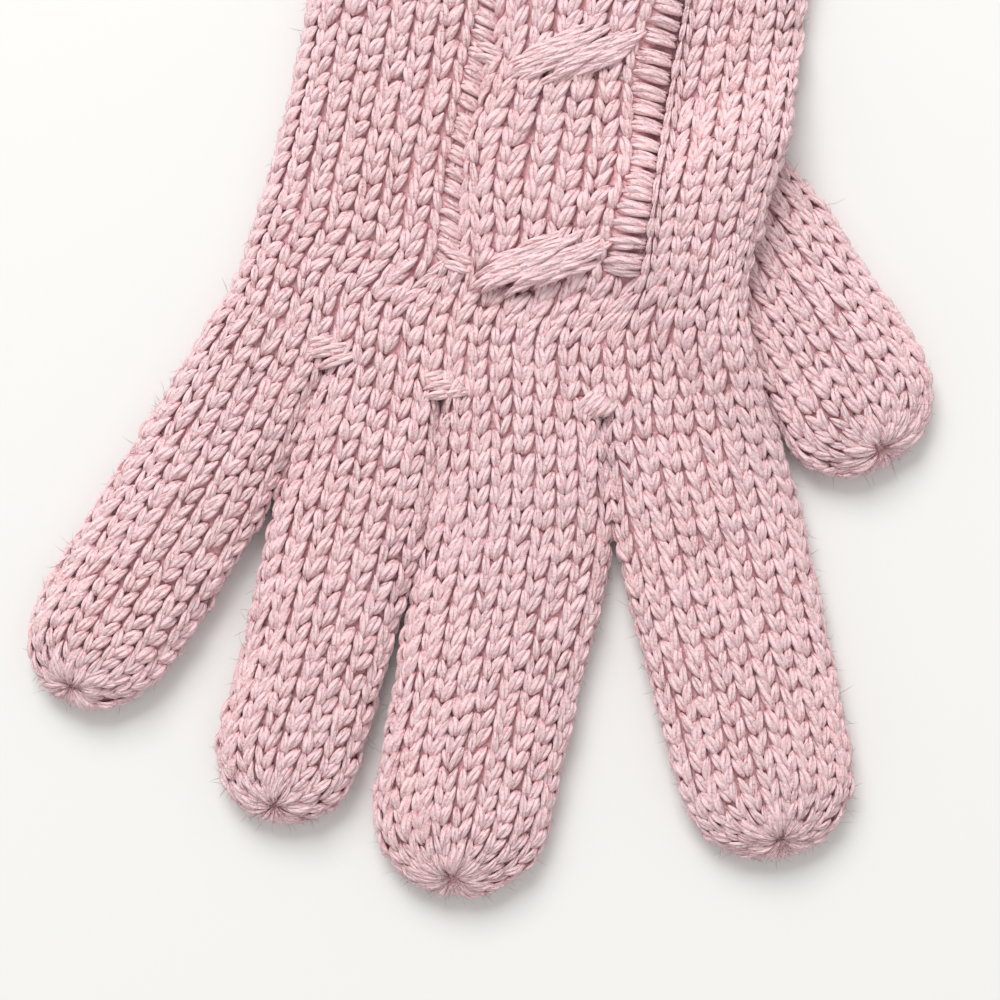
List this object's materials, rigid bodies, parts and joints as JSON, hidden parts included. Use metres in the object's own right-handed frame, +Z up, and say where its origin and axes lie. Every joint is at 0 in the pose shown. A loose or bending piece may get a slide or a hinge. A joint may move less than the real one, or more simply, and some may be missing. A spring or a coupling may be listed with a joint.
{
  "type": "cable-knit glove laid flat",
  "caption": "Right-hand knitted glove with a cable down its back and a ribbed cuff, laid flat with its thumb half under the palm.",
  "frame": {"origin": "middle of the outline's box, on the surface that the glove lies on", "axes": "+Z up out of the back of the hand, +Y from the fingers to the cuff's open end, +X to the thumb's side"},
  "size_m": [0.1312, 0.238, 0.0139],
  "materials": {
    "yarn": "matte plied wool-blend yarn with a soft nap, dusty pink"
  },
  "bodies": {
    "root": {"cuff": "yarn", "hand": "yarn", "finger_little": "yarn", "finger_ring": "yarn", "finger_middle": "yarn", "finger_index": "yarn", "thumb": "yarn"}
  },
  "joints": []
}
